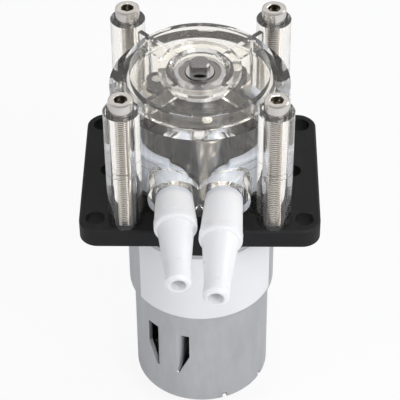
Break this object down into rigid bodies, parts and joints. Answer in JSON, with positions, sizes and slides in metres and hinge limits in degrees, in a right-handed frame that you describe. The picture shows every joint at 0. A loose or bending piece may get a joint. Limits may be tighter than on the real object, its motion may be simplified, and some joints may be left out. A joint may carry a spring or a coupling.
{
  "type": "peristaltic pump head",
  "caption": "Clear-bodied peristaltic pump head on a black mounting plate, with rollers on a flatted shaft, two hose nozzles and a round brushed motor beneath.",
  "frame": {"origin": "centre of the mounting plate's underside, the face that lies on a panel", "axes": "+Z along the pump shaft away from the motor, the two tube ports face -Y"},
  "size_m": [0.0704, 0.092, 0.1314],
  "materials": {
    "black_plastic": "fine matt",
    "clear_plastic": "clear, moulded",
    "nickel_steel": "nickel plated",
    "silicone": "translucent",
    "white_plastic": "satin",
    "dark_plastic": "moulded",
    "bush_plastic": "natural",
    "gear_plastic": "natural",
    "bearing_steel": "ground",
    "shaft_steel": "turned",
    "zinc_steel": "zinc plated, satin",
    "label_film": "bare film",
    "ferrite": "pressed ferrite",
    "copper": "enamelled copper",
    "bronze": "sintered",
    "carbon": "carbon",
    "tinned_brass": "bright"
  },
  "bodies": {
    "pump_body": {"brushes": "carbon", "flux_ring": "zinc_steel", "front_bush": "bronze", "gearbox_cover": "zinc_steel", "gearbox_screws": "zinc_steel", "housing_screws": "nickel_steel", "inlet_connector": "white_plastic", "lower_bearing_outer_ring": "bearing_steel", "lower_bearing_shields": "bearing_steel", "lower_housing": "clear_plastic", "magnets": "ferrite", "motor_can": "zinc_steel", "motor_label": "label_film", "motor_screws": "zinc_steel", "mounting_plate": "black_plastic", "outlet_connector": "white_plastic", "plate_nuts": "nickel_steel", "pump_tube": "silicone", "rear_bush": "bronze", "rear_end_cap": "dark_plastic", "ring_gear": "gear_plastic", "terminals": "tinned_brass", "top_bearing_outer_ring": "bearing_steel", "top_bearing_shields": "bearing_steel", "upper_housing": "clear_plastic"},
    "rotor": {"drive_shaft": "shaft_steel", "rotor_lower_plate": "dark_plastic", "rotor_hub": "dark_plastic", "rotor_upper_plate": "dark_plastic", "rotor_screws": "zinc_steel", "roller_axles": "bearing_steel", "top_bearing_inner_ring": "bearing_steel", "lower_bearing_inner_ring": "bearing_steel", "planet_carrier": "shaft_steel", "planet_pins": "shaft_steel"},
    "armature": {"motor_shaft": "shaft_steel", "sun_gear": "shaft_steel", "armature_core": "shaft_steel", "windings": "copper", "commutator": "copper"},
    "roller_1_spin_body": {"roller_1": "bearing_steel", "roller_bushes_1": "bush_plastic"},
    "planet_1": {"planet_gear_1": "gear_plastic"},
    "roller_2_spin_body": {"roller_2": "bearing_steel", "roller_bushes_2": "bush_plastic"},
    "planet_2": {"planet_gear_2": "gear_plastic"},
    "roller_3_spin_body": {"roller_3": "bearing_steel", "roller_bushes_3": "bush_plastic"},
    "planet_3": {"planet_gear_3": "gear_plastic"}
  },
  "joints": [
    {"name": "rotor_spin", "type": "hinge", "parent": "pump_body", "child": "rotor", "pos_m": [0, 0, 0.02], "axis": [0, 0, 1], "continuous": true},
    {"name": "motor_spin", "type": "hinge", "parent": "pump_body", "child": "armature", "pos_m": [0, 0, -0.03], "axis": [0, 0, 1], "continuous": true},
    {"name": "roller_1_spin", "type": "hinge", "parent": "rotor", "child": "roller_1_spin_body", "pos_m": [0.00211, -0.01333, 0.023], "axis": [0, 0, 1], "continuous": true},
    {"name": "roller_2_spin", "type": "hinge", "parent": "rotor", "child": "roller_2_spin_body", "pos_m": [0.01049, 0.0085, 0.023], "axis": [0, 0, 1], "continuous": true},
    {"name": "roller_3_spin", "type": "hinge", "parent": "rotor", "child": "roller_3_spin_body", "pos_m": [-0.0126, 0.00484, 0.023], "axis": [0, 0, 1], "continuous": true},
    {"name": "planet_1_spin", "type": "hinge", "parent": "rotor", "child": "planet_1", "pos_m": [0.0105, 0, -0.0015], "axis": [0, 0, 1], "continuous": true},
    {"name": "planet_2_spin", "type": "hinge", "parent": "rotor", "child": "planet_2", "pos_m": [-0.00525, 0.00909, -0.0015], "axis": [0, 0, 1], "continuous": true},
    {"name": "planet_3_spin", "type": "hinge", "parent": "rotor", "child": "planet_3", "pos_m": [-0.00525, -0.00909, -0.0015], "axis": [0, 0, 1], "continuous": true}
  ],
  "couplings": [
    {"joint": "motor_spin", "follows": "rotor_spin", "ratio": 5},
    {"joint": "roller_1_spin", "follows": "rotor_spin", "ratio": -4},
    {"joint": "roller_2_spin", "follows": "rotor_spin", "ratio": -4},
    {"joint": "roller_3_spin", "follows": "rotor_spin", "ratio": -4},
    {"joint": "planet_1_spin", "follows": "rotor_spin", "ratio": -2.6667},
    {"joint": "planet_2_spin", "follows": "rotor_spin", "ratio": -2.6667},
    {"joint": "planet_3_spin", "follows": "rotor_spin", "ratio": -2.6667}
  ]
}
